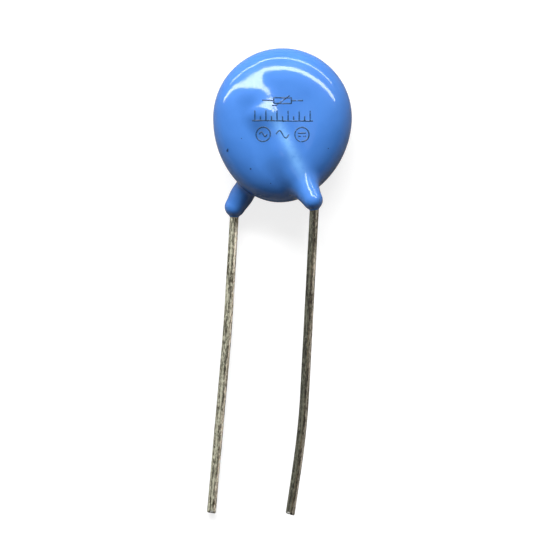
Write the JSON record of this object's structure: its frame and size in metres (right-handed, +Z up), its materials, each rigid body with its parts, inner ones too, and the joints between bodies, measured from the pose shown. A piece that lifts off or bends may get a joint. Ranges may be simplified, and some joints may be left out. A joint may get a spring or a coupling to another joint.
{
  "type": "disc varistor",
  "caption": "Radial-leaded metal-oxide disc varistor that clamps surges: a wired ceramic disc dipped in glossy blue epoxy, on two tinned wire leads.",
  "frame": {"origin": "on the table under the middle of the bounding box, with the part lying on its back", "axes": "+Y from the lead ends towards the crown of the disc, +Z up out of the front face, +X to the right as the front is seen with the leads down"},
  "size_m": [0.0128, 0.043, 0.0062],
  "materials": {
    "epoxy": "glossy dipped epoxy, blue",
    "ceramic": "matte sintered, dark grey",
    "silver": "matte fired silver",
    "solder": "satin solder",
    "tinned_wire": "tinned copper, dull to bright"
  },
  "bodies": {
    "root": {"epoxy_coating": "epoxy", "ceramic_disc": "ceramic", "front_electrode": "silver", "rear_electrode": "silver", "front_solder_joint": "solder", "rear_solder_joint": "solder", "front_lead": "tinned_wire", "rear_lead": "tinned_wire"}
  },
  "joints": []
}
